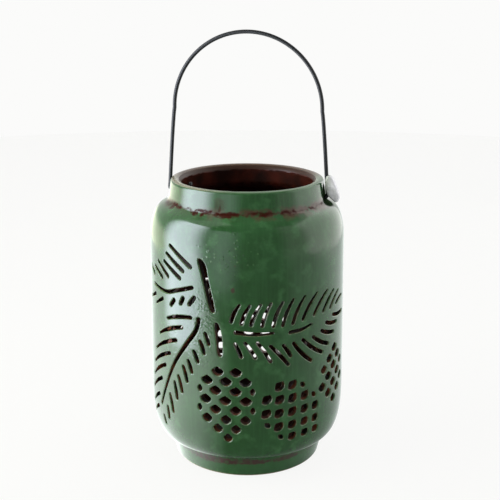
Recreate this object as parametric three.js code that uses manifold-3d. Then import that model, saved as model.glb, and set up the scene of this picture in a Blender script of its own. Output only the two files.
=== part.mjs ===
// A glazed stoneware candle lantern: a round pot on a foot ring, its wall pierced with pine boughs and
// cones, with a wire handle that swings in two holes through the neck. Millimetres, +Z up. The origin is
// the centre of the foot's underside, the handle's swing axis lies along X, and the front faces -Y.
import * as THREE from "three";
import { mergeVertices } from "three/addons/utils/BufferGeometryUtils.js";
import Module from "manifold-3d";

// Pot
const potHeight = 195.1;
const footRadius = 50.4;
const footTopRadius = 54.4;
const footHeight = 16;
const footRingWidth = 6;
const footRecess = 5;
const bodyRadius = 66.5;
const bodyTaper = 1;
const lowerCurveHeight = 38;
const shoulderHeight = 24;
const neckBaseRadius = 53.2;
const neckTopRadius = 51.3;
const neckHeight = 15.5;
const lipDrop = 2.2;
const mouthRadius = 43.9;
const wall = 5;
const floorThickness = 6;
const floorFillet = 3;
const roundness = { lower: 2.6, upper: 2.2, lip: 2.5 };
const facets = 40;

// Handle
const wireRadius = 1.3;
const holeClearance = 0.7;
const holeAboveShoulder = 3.6;
const legClearance = 0.6;
const archRadius = 50;
const archRise = 56.8;
const bendRadius = 3;
const hookInside = 3.2;
const hookTail = 3;
const legFlare = 0.8;

// Soft guard on the handle's right leg
const guardSeat = 0.3;
const guardLip = 1.7;
const guardWidth = 10.3;
const guardHeight = 18.2;
const guardDrop = 2.8;
const guardDepth = { top: 4.4, bottom: 6.6 };
const guardEdge = 1;

// The cut-outs are laid out in units of a drawing that stretches with the wall
const unitsPerHalfTurn = 207.3;
const unitsToShoulder = 179.6;
const photoTurn = 13.6;
const needleUnits = 2;
const coneUnits = { width: 7.7, height: 6.4, pitch: 13.4, taper: 0.012, narrowest: 2.6 };

// Heights and radii that follow
const wallBottom = footHeight + lowerCurveHeight;
const shoulderTop = potHeight - neckHeight;
const wallTop = shoulderTop - shoulderHeight;
const lipHeight = potHeight - lipDrop;
const wallTopRadius = bodyRadius - bodyTaper;
const floorTop = footRecess + floorThickness;
const holeRadius = wireRadius + holeClearance;
const pivotHeight = shoulderTop + holeAboveShoulder;
const archCentre = pivotHeight + archRise;

const wasm = await Module();
wasm.setup();

const v2 = (x, y) => new THREE.Vector2(x, y);
const v3 = (x, y, z) => new THREE.Vector3(x, y, z);

// A geometry as a solid that can be cut: shared vertices merged, slivers at the axis dropped
function toSolid(geometry) {
  const bare = geometry.clone();
  bare.deleteAttribute("normal");
  bare.deleteAttribute("uv");
  const merged = mergeVertices(bare, 1e-4);
  const index = merged.index.array;
  const triangles = [];
  for (let i = 0; i < index.length; i += 3) {
    const [a, b, c] = [index[i], index[i + 1], index[i + 2]];
    if (a !== b && b !== c && c !== a) triangles.push(a, b, c);
  }
  const mesh = new wasm.Mesh({
    numProp: 3,
    vertProperties: new Float32Array(merged.attributes.position.array),
    triVerts: new Uint32Array(triangles),
  });
  return new wasm.Manifold(mesh);
}

function toGeometry(solid) {
  const mesh = solid.getMesh();
  const geometry = new THREE.BufferGeometry();
  geometry.setAttribute("position", new THREE.BufferAttribute(mesh.vertProperties, 3));
  geometry.setIndex(new THREE.BufferAttribute(mesh.triVerts, 1));
  return geometry;
}

// A quarter of a rounded-off box outline, from its foot at t = 0 to its side at t = 1
function corner(centre, width, height, power, t) {
  const angle = (t * Math.PI) / 2;
  const x = Math.pow(Math.sin(angle), 2 / power);
  const y = Math.pow(Math.cos(angle), 2 / power);
  return v2(centre.x + width * x, centre.y + height * y);
}

// The pot's outside, from its foot to its neck, or its inside, one wall further in
function side(inset, steps) {
  const points = [];
  const lower = v2(footTopRadius - inset, wallBottom);
  const upper = v2(neckBaseRadius - inset, wallTop);
  for (let i = 0; i <= steps; i++) {
    const width = bodyRadius - footTopRadius;
    points.push(corner(lower, width, inset - lowerCurveHeight, roundness.lower, i / steps));
  }
  for (let i = steps; i >= 0; i--) {
    const width = wallTopRadius - neckBaseRadius;
    points.push(corner(upper, width, shoulderHeight - inset, roundness.upper, i / steps));
  }
  return points;
}

// The lip, over its top from the neck's outside to its inside
function lip(steps) {
  const centre = v2((neckTopRadius + mouthRadius) / 2, lipHeight);
  const points = [];
  for (let i = steps; i >= -steps; i--) {
    const width = (Math.sign(i) * (neckTopRadius - mouthRadius)) / 2;
    points.push(corner(centre, width, lipDrop, roundness.lip, Math.abs(i) / steps));
  }
  return points;
}

function potProfile() {
  const steps = 4;
  const innerFoot = footTopRadius - wall;
  const outside = [
    v2(0, footRecess),
    v2(footRadius - footRingWidth - floorFillet, footRecess),
    v2(footRadius - footRingWidth, 0),
    v2(footRadius, 0),
    ...side(0, steps),
  ];
  const inside = [
    ...side(wall, steps).reverse(),
    v2(innerFoot, floorTop + floorFillet),
    v2(innerFoot - floorFillet, floorTop),
    v2(0, floorTop),
  ];
  return [...outside, ...lip(2), ...inside];
}

// The direction out of the wall at a distance along it from the photographed front line
function outward(u) {
  const angle = (u / unitsPerHalfTurn) * Math.PI + THREE.MathUtils.degToRad(photoTurn - 90);
  return v3(Math.cos(angle), Math.sin(angle), 0);
}

// A place on the drawing, u along the wall and z above the table, on the pot's wall
function onWall(u, z) {
  return outward(u).setLength(bodyRadius).setZ((z * shoulderTop) / unitsToShoulder);
}

// Onto a fine binary grid, where sums are exact and a cutter's sides stay flat
function snap(place) {
  const partsPerUnit = 2 ** 12;
  return place.multiplyScalar(partsPerUnit).round().divideScalar(partsPerUnit);
}

// A cutter that takes an outline straight through the wall, square to it at the outline's middle
function wallCutter(outline, turn) {
  const contour = THREE.ShapeUtils.isClockWise(outline) ? [...outline].reverse() : outline;
  const count = contour.length;
  const across = outward(turn + contour.reduce((sum, p) => sum + p.x, 0) / count);
  const ring = (offset) => {
    const step = snap(across.clone().multiplyScalar(offset));
    return contour.map((p) => snap(onWall(p.x + turn, p.y)).add(step));
  };
  const index = [];
  for (const [a, b, c] of THREE.ShapeUtils.triangulateShape(contour, [])) {
    index.push(c, b, a, a + count, b + count, c + count);
  }
  for (let i = 0; i < count; i++) {
    const j = (i + 1) % count;
    index.push(i, j, j + count, i, j + count, i + count);
  }
  const reach = { inward: -2.2 * wall, outward: wall };
  const places = [...ring(reach.inward), ...ring(reach.outward)];
  const geometry = new THREE.BufferGeometry().setFromPoints(places);
  geometry.setIndex(index);
  return toSolid(geometry);
}

// A cut along a spine, with a width at each of its points and rounded ends
function slit(spine, widths) {
  const left = [];
  const right = [];
  const along = spine.map((p, i) => {
    const before = spine[Math.max(i - 1, 0)];
    const after = spine[Math.min(i + 1, spine.length - 1)];
    return after.clone().sub(before).normalize();
  });
  spine.forEach((p, i) => {
    const out = v2(-along[i].y, along[i].x).multiplyScalar(widths[i] / 2);
    left.push(p.clone().add(out));
    right.push(p.clone().sub(out));
  });
  const last = spine.length - 1;
  const start = spine[0].clone().addScaledVector(along[0], -widths[0] / 3);
  const end = spine[last].clone().addScaledVector(along[last], widths[last] / 3);
  return [start, ...right, end, ...left.reverse()];
}

// A pine needle: blunt at its root, pointed at its tip, with its middle bowed to one side
function needle(root, tip, bow) {
  const step = tip.clone().sub(root);
  const across = v2(-step.y, step.x);
  const half = across.clone().setLength(needleUnits / 2);
  const middle = root.clone().lerp(tip, 0.55).addScaledVector(across, bow);
  const end = tip.clone().add(step.setLength(needleUnits / 2));
  const rootEdges = [root.clone().add(half), root.clone().sub(half)];
  return [...rootEdges, middle.clone().sub(half), end, middle.clone().add(half)];
}

// Needles side by side: their roots lie along one curve, and their tips along another
function spray({ count, roots, tips, bow = 0 }) {
  const rootCurve = new THREE.SplineCurve(roots.map(([u, z]) => v2(u, z)));
  const tipCurve = new THREE.SplineCurve(tips.map(([u, z]) => v2(u, z)));
  const needles = [];
  for (let i = 0; i < count; i++) {
    const t = i / (count - 1);
    needles.push(needle(rootCurve.getPoint(t), tipCurve.getPoint(t), bow));
  }
  return needles;
}

// A stem or twig along a curve through a few places
function stem(places, steps, widths) {
  const curve = new THREE.SplineCurve(places.map(([u, z]) => v2(u, z)));
  const spine = curve.getPoints(steps);
  const thickness = spine.map((p, i) => THREE.MathUtils.lerp(widths[0], widths[1], i / steps));
  return slit(spine, thickness);
}

// A pine cone: staggered scales, pointed towards its stalk, that narrow where they meet its egg-shaped side
function cone({ centre, tilt, rows, rowStep, up, down, side }) {
  const { width, height, pitch, taper, narrowest } = coneUnits;
  const cell = [v2(0, 1), v2(-1, 0), v2(-0.6, -1), v2(0.6, -1), v2(1, 0)];
  const turned = THREE.MathUtils.degToRad(tilt);
  const holes = [];
  for (let row = rows.lowest; row <= rows.highest; row++) {
    const z = row * rowStep;
    const reach = side * Math.sqrt(Math.max(1 - (z / (z > 0 ? up : down)) ** 2, 0));
    const spacing = pitch * (1 - taper * row * row);
    for (let column = -2; column <= 2; column++) {
      const across = spacing * (column + (row % 2 === 0 ? 0 : 0.5));
      const left = Math.max(across - width / 2, -reach);
      const right = Math.min(across + width / 2, reach);
      if (right - left < narrowest) continue;
      const hole = cell.map((p) => v2((left + right + p.x * (right - left)) / 2, z + (p.y * height) / 2));
      holes.push(hole.map((p) => p.rotateAround(v2(0, 0), turned).add(centre)));
    }
  }
  return holes;
}

// Everything cut into one half of the wall
function forest() {
  const twig = [
    slit([v2(-30.3, 153.2), v2(-26.6, 139), v2(-21.9, 121.5)], [5.6, 4.3, 4.3]),
    slit([v2(-20, 112), v2(-17.8, 103), v2(-17.5, 92.5)], [4.4, 4.2, 3.4]),
  ];
  const sprig = [
    stem([[-37, 134.6], [-49.5, 130.5], [-62, 126.9], [-79, 127.6]], 5, [2.1, 1.6]),
    ...spray({
      count: 3,
      roots: [[-38.6, 147.8], [-45, 144.8], [-47.8, 139.5]],
      tips: [[-56.2, 159], [-60.6, 153.1], [-63.2, 147]],
      bow: -0.03,
    }),
    ...spray({
      count: 3,
      roots: [[-59.4, 138], [-66.8, 135.5], [-80, 135]],
      tips: [[-72.5, 145], [-78.4, 140.2], [-87, 138.4]],
    }),
    ...spray({
      count: 3,
      roots: [[-35.4, 128], [-44.6, 126.2], [-52.9, 123.3]],
      tips: [[-39.4, 123.1], [-46.8, 122.2], [-56.4, 119.1]],
    }),
    ...spray({ count: 2, roots: [[-66.6, 120.8], [-78.3, 121]], tips: [[-77.4, 114.9], [-89, 116.4]] }),
  ];
  const hangingBough = [
    stem([[-32.2, 114.2], [-34.6, 106], [-44, 93], [-55.5, 76], [-70, 45.8]], 6, [2.3, 1.8]),
    ...spray({
      count: 8,
      roots: [[-38.8, 114.1], [-53.8, 91.9], [-67.4, 67.6], [-76.2, 41.2]],
      tips: [[-61.8, 108.6], [-80, 78.8], [-85.4, 55.6], [-87, 34.2]],
      bow: 0.04,
    }),
    ...spray({
      count: 10,
      roots: [[-27.6, 105], [-40.5, 84.3], [-53.2, 65.6], [-68.2, 36.4]],
      tips: [[-25.3, 99], [-38.2, 78.1], [-51.4, 56], [-67, 31.4]],
      bow: 0.04,
    }),
  ];
  const reachingBough = [
    slit([v2(-7, 108.1), v2(4.5, 106.7), v2(16.6, 107)], [3, 2.8, 1.6]),
    slit([v2(28.4, 106.3), v2(36.6, 106.4), v2(45, 108.6)], [2.6, 2.4, 1.4]),
    ...spray({
      count: 12,
      roots: [[-9.8, 115.3], [8.2, 112.7], [27, 112.1], [49.5, 115.2], [73, 115.9]],
      tips: [[-5, 126.2], [13.6, 126.4], [35, 128.6], [62.4, 128], [84.6, 118.4]],
      bow: 0.05,
    }),
    ...spray({
      count: 4,
      roots: [[-7.6, 100], [-1.2, 100.8], [6.8, 100.7], [15.2, 98.2]],
      tips: [[-4, 92.2], [5, 91.8], [15, 88.4], [26.8, 85]],
    }),
    ...spray({
      count: 7,
      roots: [[23.8, 98], [38.4, 99.6], [54.8, 101.8], [68.6, 109.2]],
      tips: [[29.4, 90.2], [55.2, 87], [68.6, 97.4], [85.4, 107]],
      bow: -0.04,
    }),
  ];
  const fullCone = { rows: { lowest: -4, highest: 3 }, rowStep: 6.6, up: 26, down: 29, side: 20 };
  const cones = [
    ...cone({ ...fullCone, centre: v2(-14.2, 61.4), tilt: 0 }),
    ...cone({ ...fullCone, centre: v2(30.2, 51.6), tilt: 45 }),
    ...cone({
      centre: v2(69.6, 61.8), tilt: 0, rows: { lowest: -2, highest: 4 }, rowStep: 6, up: 26, down: 13, side: 17.5,
    }),
  ];
  return [...twig, ...sprig, ...hangingBough, ...reachingBough, ...cones];
}

// A round bar along the handle's swing axis, for its two holes
function swingBore() {
  const length = 2 * (neckBaseRadius + wall);
  const bore = new THREE.CylinderGeometry(holeRadius, holeRadius, length, 16);
  bore.rotateZ(Math.PI / 2).translate(0, 0, pivotHeight);
  return bore;
}

function potGeometry() {
  const turned = new THREE.LatheGeometry(potProfile(), facets).rotateX(Math.PI / 2);
  let pot = toSolid(turned).subtract(toSolid(swingBore()));
  for (const outline of forest()) {
    for (const turn of [0, unitsPerHalfTurn]) {
      pot = pot.subtract(wallCutter(outline, turn));
    }
  }
  return toGeometry(pot);
}

// Outside and inside radius of the neck at a height
function neckRadius(height) {
  return THREE.MathUtils.mapLinear(height, shoulderTop, lipHeight, neckBaseRadius, neckTopRadius);
}
function neckInside(height) {
  const start = shoulderTop - wall;
  return THREE.MathUtils.mapLinear(height, start, lipHeight, neckBaseRadius - wall, mouthRadius);
}

const legAtPivot = neckRadius(pivotHeight) + legClearance + wireRadius;

// Half the distance between the legs at a height, widening from the arch down to the pivots
function legReach(height) {
  const share = (archCentre - height) / (archCentre - pivotHeight);
  return archRadius + (legAtPivot - archRadius) * Math.pow(share, legFlare);
}

// Points on a bend in the plane of the handle
function bend(centre, radius, from, to, steps) {
  const points = [];
  for (let i = 0; i <= steps; i++) {
    const angle = THREE.MathUtils.degToRad(THREE.MathUtils.lerp(from, to, i / steps));
    points.push(v3(centre.x + radius * Math.cos(angle), 0, centre.y + radius * Math.sin(angle)));
  }
  return points;
}

// The wire's centre line inside the neck: its tail, and the bend into its hole
function hook() {
  const centre = v2(neckInside(pivotHeight) - hookInside, pivotHeight + bendRadius);
  const turn = bend(centre, bendRadius, 180, 270, 3);
  return [turn[0].clone().add(v3(0, 0, hookTail)), ...turn];
}

// The wire's centre line outside the neck, from its hole up to the arch's crown
function halfArch() {
  const centre = v2(legAtPivot - bendRadius, pivotHeight + bendRadius);
  const legSteps = 6;
  const leg = [];
  for (let i = 1; i < legSteps; i++) {
    const height = THREE.MathUtils.lerp(centre.y, archCentre, i / legSteps);
    leg.push(v3(legReach(height), 0, height));
  }
  const arch = bend(v2(0, archCentre), archRadius, 0, 90, 11);
  return [...bend(centre, bendRadius, -90, 0, 4), ...leg, ...arch];
}

// A path through given points, whose steps fall on the points themselves
class PointPath extends THREE.Curve {
  constructor(points) {
    super();
    this.points = points;
  }
  getPoint(t, target = v3(0, 0, 0)) {
    const place = t * (this.points.length - 1);
    const i = Math.min(Math.floor(place + 1e-6), this.points.length - 2);
    return target.lerpVectors(this.points[i], this.points[i + 1], place - i);
  }
  getTangent(t, target = v3(0, 0, 0)) {
    const i = Math.round(t * (this.points.length - 1));
    const before = this.points[Math.max(i - 1, 0)];
    const after = this.points[Math.min(i + 1, this.points.length - 1)];
    return target.subVectors(after, before).normalize();
  }
  getPointAt(u, target) {
    return this.getPoint(u, target);
  }
  getTangentAt(u, target) {
    return this.getTangent(u, target);
  }
}

// Wire of a given radius along the handle's centre line
function wireAlong(points, radius) {
  const section = new THREE.Shape().absarc(0, 0, radius, 0, 2 * Math.PI);
  const options = { curveSegments: 4, steps: points.length - 1, extrudePath: new PointPath(points) };
  return new THREE.ExtrudeGeometry(section, options);
}

function handleGeometry() {
  const right = [...hook(), ...halfArch()];
  const left = right.map((p) => v3(-p.x, 0, p.z)).reverse();
  return toGeometry(toSolid(wireAlong([...right.slice(0, -1), ...left], wireRadius)));
}

// The guard in side view: narrow where it starts on the leg, leaning out over the shoulder, with its lower
// inner corner cut back to free the hook. It holds the wire in a groove along its inner face. Its outline
// is drawn in parts of its width and height.
function guardGeometry() {
  const start = v2(legAtPivot - guardLip, pivotHeight - guardDrop);
  const places = [
    [0.105, 0.308], [0.242, 0.198], [0.579, 0.011], [0.747, 0],
    [1, 0.209], [0.768, 0.495], [0.453, 0.912], [0.263, 1], [0, 0.945],
  ];
  const outline = places.map(([x, z]) => v2(start.x + x * guardWidth, start.y + z * guardHeight));
  const depth = guardDepth.bottom - 2 * guardEdge;
  const options = { depth, bevelSize: guardEdge, bevelThickness: guardEdge, bevelOffset: -guardEdge };
  const shape = new THREE.Shape(outline);
  const slab = new THREE.ExtrudeGeometry(shape, { ...options, bevelSegments: 2, steps: 1 });
  slab.translate(0, 0, -depth / 2).rotateX(Math.PI / 2);
  const position = slab.attributes.position;
  for (let i = 0; i < position.count; i++) {
    const up = THREE.MathUtils.clamp((position.getZ(i) - start.y) / guardHeight, 0, 1);
    const narrowing = THREE.MathUtils.lerp(1, guardDepth.top / guardDepth.bottom, up);
    position.setY(i, position.getY(i) * narrowing);
  }
  const channel = wireAlong(halfArch(), wireRadius + guardSeat);
  return toGeometry(toSolid(slab).subtract(toSolid(channel)));
}

function piece(name, geometry, color, roughness, metalness) {
  const mesh = new THREE.Mesh(geometry, new THREE.MeshStandardMaterial({ color, roughness, metalness }));
  mesh.name = name;
  return mesh;
}

const lantern = new THREE.Group();
lantern.add(piece("pierced_pot", potGeometry(), "#3f6b45", 0.12, 0));
lantern.add(piece("wire_handle", handleGeometry(), "#17191a", 0.35, 0.3));
lantern.add(piece("handle_guard", guardGeometry(), "#bfc2c6", 0.5, 0));

export default lantern;
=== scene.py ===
# A glazed stoneware candle lantern: a round pot pierced with pine boughs and cones, a black wire handle
# that swings in the neck, and a soft grey guard on the handle's right leg.
import math
from bisect import bisect_left

import bmesh
import bpy
from mathutils import Matrix, Vector


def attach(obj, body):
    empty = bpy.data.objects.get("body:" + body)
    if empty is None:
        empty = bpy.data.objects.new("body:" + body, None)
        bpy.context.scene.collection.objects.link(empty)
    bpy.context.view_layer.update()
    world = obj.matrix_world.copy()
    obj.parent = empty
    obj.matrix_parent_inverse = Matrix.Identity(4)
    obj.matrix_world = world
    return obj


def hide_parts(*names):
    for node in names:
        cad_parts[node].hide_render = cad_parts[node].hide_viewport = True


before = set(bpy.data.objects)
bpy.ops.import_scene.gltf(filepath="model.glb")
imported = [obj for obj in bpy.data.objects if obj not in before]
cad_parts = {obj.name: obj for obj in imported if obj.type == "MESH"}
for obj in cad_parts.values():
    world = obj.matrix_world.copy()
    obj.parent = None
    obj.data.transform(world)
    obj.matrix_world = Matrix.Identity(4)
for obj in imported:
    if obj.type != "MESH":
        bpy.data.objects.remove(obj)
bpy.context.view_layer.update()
print("frame loaded:", sorted(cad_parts))

mm = 0.001  # in metres
smooth = {"interpolation_type": "SMOOTHSTEP"}  # for a Map Range node that eases in and out


def linear(hexColour):  # sRGB hex to the linear colour that nodes want
    parts = [int(hexColour[i:i + 2], 16) / 255 for i in (1, 3, 5)]
    return tuple(c / 12.92 if c <= 0.04045 else ((c + 0.055) / 1.055) ** 2.4 for c in parts) + (1,)


# A node with its settings, its values and its links. Inputs come as a list in the node's own order, or as
# a dictionary by name or number.
def addNode(tree, kind, inputs=(), **settings):
    made = tree.nodes.new("ShaderNode" + kind)
    for name, value in settings.items():
        setattr(made, name, value)
    byKey = inputs if isinstance(inputs, dict) else dict(enumerate(inputs))
    for key, value in byKey.items():
        if isinstance(value, bpy.types.Node):
            value = next(o for o in value.outputs if o.enabled)
        if isinstance(value, bpy.types.NodeSocket):
            tree.links.new(value, made.inputs[key])
        else:
            made.inputs[key].default_value = value
    return made


def layered(tree, colour, layers):  # colours laid over the first one, each as strongly as its mask says
    for mask, paint in layers:
        colour = addNode(tree, "Mix", {0: mask, 6: colour, 7: paint}, data_type="RGBA")
    return colour


def newMaterial(name):
    material = bpy.data.materials.new(name)
    material.use_nodes = True
    material.node_tree.nodes.clear()
    return material, material.node_tree


def newPiece(name, bm, material, smoothFaces=True):
    mesh = bpy.data.meshes.new(name)
    bm.to_mesh(mesh)
    bm.free()
    for polygon in mesh.polygons:
        polygon.use_smooth = smoothFaces
    piece = bpy.data.objects.new(name, mesh)
    bpy.context.scene.collection.objects.link(piece)
    piece.data.materials.append(material)
    return piece


# The camera: its place in metres, how far it looks down and is turned in degrees, and its lens in mm
shot = {"place": (0.15392, -0.62843, 0.324), "down": 15.55, "turn": 13.6, "lens": 70.7, "clipStart": 0.02}
frontTurn = math.radians(shot["turn"])  # the pot's front line and the studio are turned with the camera


def makeCamera():
    cameraData = bpy.data.cameras.new("camera")
    cameraData.lens = shot["lens"]
    cameraData.clip_start = shot["clipStart"]
    camera = bpy.data.objects.new("camera", cameraData)
    camera.location = shot["place"]
    camera.rotation_euler = (math.radians(90 - shot["down"]), 0, frontTurn)
    bpy.context.scene.collection.objects.link(camera)
    bpy.context.scene.camera = camera
    bpy.context.scene.view_settings.view_transform = "Standard"


def fromTheFront(tree, place):  # to the right, forwards and up from the axis, and the bearing to the right
    turned = addNode(tree, "VectorRotate", {"Vector": place, "Angle": -frontTurn}, rotation_type="Z_AXIS")
    right, back, up = addNode(tree, "SeparateXYZ", [turned]).outputs
    forwards = addNode(tree, "Math", [back, -1], operation="MULTIPLY")
    bearing = addNode(tree, "Math", [right, forwards], operation="ARCTAN2")
    return right, forwards, up, bearing


# The studio, in metres: a pale room, a floor that reads as white, and a curved paper backdrop. In the
# glaze's reflections the floor glows, a painted reflection of a floor as lamps would light it: floorLevels
# gives its glow on each side, in degrees to the right of the camera's, and close to the pot it is a little
# dimmer, a painted shadow.
studio = {
    "white": "#fbfbfa", "room": "#f4f6f8", "roomStrength": 0.4,
    "floorPaint": "#dcdcda", "floorMirrored": "#eef4f2", "floorGlow": 0.94,
    "floorLevels": [(-126, 2.0), (-80, 4.8), (-44, 3.7), (-17, 0.5), (30, 0.5), (110, 1.4), (180, 1.5)],
    "floorMost": 5.0, "nearMost": 3.5, "nearEnd": 0.06, "farStart": 0.2,
    "floorHalfWidth": 2.0, "floorBack": 1.5, "floorFront": 0.34, "floorSunk": 0.00005,
    "backdropRadius": 1.5, "backdropHeight": 2.2, "backdropStart": -10, "backdropSweep": 200,
    "backdropSteps": 24,
}


def stagePiece(name, bm, material):
    piece = newPiece(name, bm, material, smoothFaces=False)
    return piece


def makeRoom():
    world = bpy.data.worlds.new("studio room")
    bpy.context.scene.world = world
    world.use_nodes = True
    tree = world.node_tree
    tree.nodes.clear()
    room = addNode(tree, "Background", {"Color": linear(studio["room"]), "Strength": studio["roomStrength"]})
    white = addNode(tree, "Background", {"Color": linear(studio["white"]), "Strength": 1})
    path = addNode(tree, "LightPath")
    shown = addNode(tree, "MixShader", [path.outputs["Is Camera Ray"], room, white])
    addNode(tree, "OutputWorld", {"Surface": shown})


def makeFloorPaint():
    floorPaint, tree = newMaterial("matt white floor")
    path = addNode(tree, "LightPath")
    paint = addNode(tree, "BsdfDiffuse", {"Color": linear(studio["floorPaint"])})
    glow = addNode(tree, "Emission", {"Color": linear(studio["white"]), "Strength": 1})
    whiteness = addNode(tree, "MapRange", {"Value": path.outputs["Is Camera Ray"],
                                           "To Max": studio["floorGlow"]})
    seen = addNode(tree, "MixShader", [whiteness, paint, glow])

    place = addNode(tree, "TexCoord").outputs["Object"]
    bearing = fromTheFront(tree, place)[3]
    wayRound = addNode(tree, "MapRange", [bearing, -math.pi, math.pi])
    ramp = addNode(tree, "ValToRGB", [wayRound])
    stops = ramp.color_ramp.elements
    for i, (side, level) in enumerate(studio["floorLevels"]):
        stop = stops[i] if i < 2 else stops.new(0.999)
        stop.position = (side + 180) / 360
        share = level / studio["floorMost"]
        stop.color = (share, share, share, 1)
    # dimmer close to the pot: a painted shadow in the floor's painted reflection
    far = addNode(tree, "VectorMath", [place], operation="LENGTH").outputs["Value"]
    most = addNode(tree, "MapRange", [far, studio["nearEnd"], studio["farStart"], studio["nearMost"],
                                      studio["floorMost"]])
    strength = addNode(tree, "Math", [ramp, most], operation="MULTIPLY")
    paintedReflection = addNode(tree, "Emission", {"Color": linear(studio["floorMirrored"]), "Strength": strength})
    shown = addNode(tree, "MixShader", [path.outputs["Is Glossy Ray"], seen, paintedReflection])
    addNode(tree, "OutputMaterial", {"Surface": shown})
    return floorPaint


def makeFloor():
    bm = bmesh.new()
    bmesh.ops.create_grid(bm, x_segments=1, y_segments=1, size=1)
    depth = studio["floorBack"] + studio["floorFront"]
    middle = (0, depth / 2 - studio["floorFront"], -studio["floorSunk"])
    bmesh.ops.scale(bm, vec=(studio["floorHalfWidth"], depth / 2, 1), verts=bm.verts)
    bmesh.ops.translate(bm, vec=middle, verts=bm.verts)
    bmesh.ops.rotate(bm, matrix=Matrix.Rotation(frontTurn, 3, "Z"), verts=bm.verts)
    stagePiece("floor", bm, makeFloorPaint())


def makeBackdrop():
    paper, tree = newMaterial("white paper backdrop")
    rays = addNode(tree, "LightPath").outputs
    seen = addNode(tree, "Math", [rays["Is Camera Ray"], rays["Is Glossy Ray"]], operation="MAXIMUM")
    seen = addNode(tree, "Math", [seen, rays["Is Transmission Ray"]], operation="MAXIMUM")
    paint = addNode(tree, "BsdfDiffuse", {"Color": linear(studio["white"])})
    glow = addNode(tree, "Emission", {"Color": linear(studio["white"]), "Strength": 1})
    addNode(tree, "OutputMaterial", {"Surface": addNode(tree, "MixShader", [seen, paint, glow])})
    bm = bmesh.new()
    turn = Matrix.Rotation(frontTurn + math.radians(studio["backdropStart"]), 3, "Z")
    start = turn @ Vector((studio["backdropRadius"], 0, 0))
    foot = bm.verts.new(start)
    top = bm.verts.new(start + Vector((0, 0, studio["backdropHeight"])))
    edge = bm.edges.new((foot, top))
    bmesh.ops.spin(bm, geom=[foot, top, edge], cent=(0, 0, 0), axis=(0, 0, 1),
                   angle=math.radians(studio["backdropSweep"]), steps=studio["backdropSteps"])
    stagePiece("backdrop", bm, paper)


# The lamps are flat glowing boards that the camera doesn't see, and each one fades towards its lower edge,
# its sides and its upper edge by shares of its size. A row says how wide and tall a board is, where its
# middle is (bearing in degrees to the right of the camera's side, distance, height), the height on the
# axis that it faces, its colour and its strength. All lengths are in metres.
lamps = {
    "left soft box": ((0.42, 0.56), (-75, 0.32, 0.22), 0.25, "#ebf0ff", 12.0,
                      {"fade": 0.1, "soft": 0.38, "topFade": 0.09, "forDiffuse": False}),
    "left wing": ((0.5, 0.5), (-30, 0.5, 0.25), 0.25, "#e8f2f6", 2.2, {"soft": 0.45, "forDiffuse": False}),
    "left back card": ((0.74, 0.34), (-127, 0.6, 0.06), 0.06, "#f3f6e2", 3.0,
                       {"topFade": 0.35, "forDiffuse": False}),
    "left top card": ((0.8, 0.7), (-80, 0.55, 0.95), 0.25, "#f0f5f0", 1.7,
                      {"fade": 0.2, "soft": 0.3, "forDiffuse": False}),
    "left fill": ((0.7, 0.9), (-80, 0.75, 0.5), 0.1, "#fbfdea", 5.6, {"forGloss": False}),
    "right card": ((1.2, 0.9), (108, 0.6, 0.4), 0.4, "#f6f6f4", 2.3, {"fade": 0.1, "forDiffuse": False}),
    "right fill": ((1.2, 0.9), (108, 0.6, 0.4), 0.4, "#f6f6f4", 1.4, {"forGloss": False}),
    "right wing": ((0.5, 0.9), (56, 0.62, 0.4), 0.4, "#f6f6f4", 0.95, {"fade": 0.1, "soft": 0.4}),
    "top lamp": ((1.6, 1.6), (20, 0.2, 1.5), 0.1, "#ffffff", 1.7, {"forGloss": False}),
}


def makeLamp(name, size, middle, aimHeight, colour, strength, fade=0, soft=0, topFade=0,
             forGloss=True, forDiffuse=True):
    (width, height), (bearing, distance, up) = size, middle
    glow, tree = newMaterial(name + " glow")
    x, y, _ = addNode(tree, "SeparateXYZ", [addNode(tree, "TexCoord").outputs["Object"]]).outputs
    offMiddle = addNode(tree, "Math", [x], operation="ABSOLUTE")
    beyond = 0.001  # past the board's edge, so that one that doesn't fade is lit right up to it
    level = 1
    for spot, dark, full in ((y, -height / 2 - beyond, -height / 2 + fade * height),
                             (offMiddle, width / 2 + beyond, width / 2 - soft * width),
                             (y, height / 2 + beyond, height / 2 - topFade * height)):
        inside = addNode(tree, "MapRange", [spot, dark, full], **smooth)
        level = addNode(tree, "Math", [level, inside], operation="MULTIPLY")
    clear = addNode(tree, "BsdfTransparent")
    lit = addNode(tree, "Emission", {"Color": linear(colour), "Strength": strength})
    addNode(tree, "OutputMaterial", {"Surface": addNode(tree, "MixShader", [level, clear, lit])})
    bm = bmesh.new()
    bmesh.ops.create_grid(bm, x_segments=1, y_segments=1, size=0.5)
    bmesh.ops.scale(bm, vec=(width, height, 1), verts=bm.verts)
    panel = stagePiece(name, bm, glow)
    a = frontTurn + math.radians(bearing)
    panel.location = (math.sin(a) * distance, -math.cos(a) * distance, up)
    panel.rotation_euler = (panel.location - Vector((0, 0, aimHeight))).to_track_quat("Z", "Y").to_euler()
    panel.visible_camera = False
    panel.visible_glossy = forGloss
    panel.visible_diffuse = forDiffuse
    panel.visible_shadow = False


makeCamera()
makeRoom()
makeFloor()
makeBackdrop()
for name, (*row, more) in lamps.items():
    makeLamp(name, *row, **more)
print("studio and camera made")


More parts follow.
